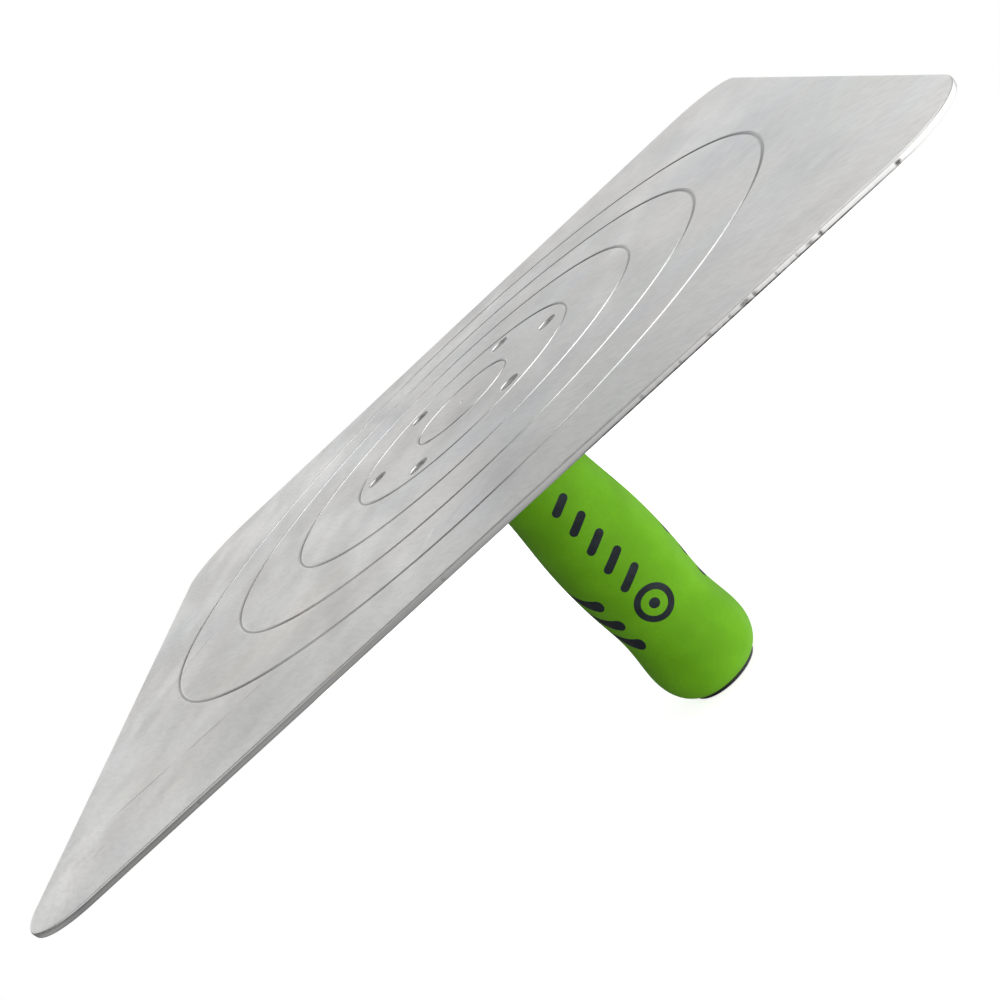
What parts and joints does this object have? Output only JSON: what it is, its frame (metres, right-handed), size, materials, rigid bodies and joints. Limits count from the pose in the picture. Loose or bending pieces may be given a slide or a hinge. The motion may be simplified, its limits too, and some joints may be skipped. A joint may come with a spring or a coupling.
{
  "type": "plasterer's hawk",
  "caption": "Square aluminium hawk plate with turned ring grooves, flush-riveted to a cast flange, on an upright bolted soft-grip handle, for carrying plaster or mortar.",
  "frame": {"origin": "centre of the plate's working face, on the handle's axis", "axes": "+Z out of the working face, away from the handle; +X and +Y along the plate's edges"},
  "size_m": [0.33, 0.33, 0.143],
  "materials": {
    "plate": "mill finish, lightly scratched",
    "rivets": "worked flush, slightly darker than the plate",
    "casting": "die-cast, satin",
    "steel": "zinc plated",
    "nylon": "nylon ring",
    "core": "moulded, satin",
    "grip": "soft matt rubber, fine texture",
    "inlay": "soft matt rubber"
  },
  "bodies": {
    "root": {"plate": "plate", "plate_rivets": "rivets", "mounting_flange": "casting", "handle_bolt": "steel", "flat_washer": "steel", "spring_washer": "steel", "lock_nut": "steel", "lock_nut_insert": "nylon", "handle_core": "core", "end_cap": "core", "grip_sleeve": "grip", "grip_marking": "inlay", "finger_inlay_left_1": "inlay", "finger_inlay_left_2": "inlay", "finger_inlay_left_3": "inlay", "finger_inlay_right_1": "inlay", "finger_inlay_right_2": "inlay", "finger_inlay_right_3": "inlay"}
  },
  "joints": []
}
